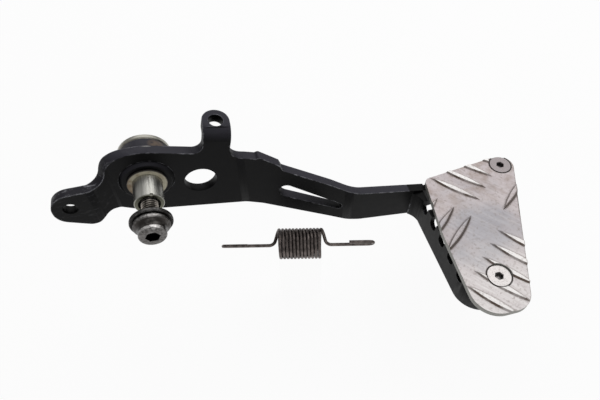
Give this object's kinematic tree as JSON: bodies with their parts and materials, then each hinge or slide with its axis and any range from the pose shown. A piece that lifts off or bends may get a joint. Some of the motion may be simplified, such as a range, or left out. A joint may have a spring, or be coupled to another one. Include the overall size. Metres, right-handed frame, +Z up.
{
  "type": "rear brake pedal",
  "caption": "Motorcycle rear brake pedal: bent steel lever on a bushed pivot with bolt and sleeve, toothed foot pad with raised-bar tread plate, and its loose return spring.",
  "frame": {"origin": "on the pivot axis, in the outboard face of the lever plate", "axes": "+X forward to the foot pad, +Y inboard along the pivot, +Z up as mounted with the tread level"},
  "size_m": [0.2471, 0.1144, 0.0798],
  "materials": {
    "satin_black": "satin black coat, worn at the ear and the bends",
    "cream_plastic": "cream plastic with brown stains",
    "bright_steel": "bright zinc-plated turned steel",
    "dark_steel": "worn black oxide",
    "bare_aluminium": "bare worn aluminium, brown dirt beside the bars",
    "spring_steel": "dark oiled spring steel"
  },
  "bodies": {
    "pivot": {"pivot_sleeve": "bright_steel", "pivot_bolt": "dark_steel", "bolt_washer": "dark_steel", "return_spring": "spring_steel"},
    "pedal": {"lever_plate": "satin_black", "pivot_boss": "satin_black", "outer_bush": "cream_plastic", "inner_bush": "cream_plastic", "pad_bracket": "satin_black", "tread_plate": "bare_aluminium", "pad_screws": "bright_steel"}
  },
  "joints": [
    {"name": "pedal_pivot", "type": "hinge", "parent": "pivot", "child": "pedal", "pos_m": [0, 0, 0], "axis": [0, 1, 0], "range_deg": [0, 12], "stiffness_Nm_per_rad": 3, "springref_deg": -17.19}
  ]
}
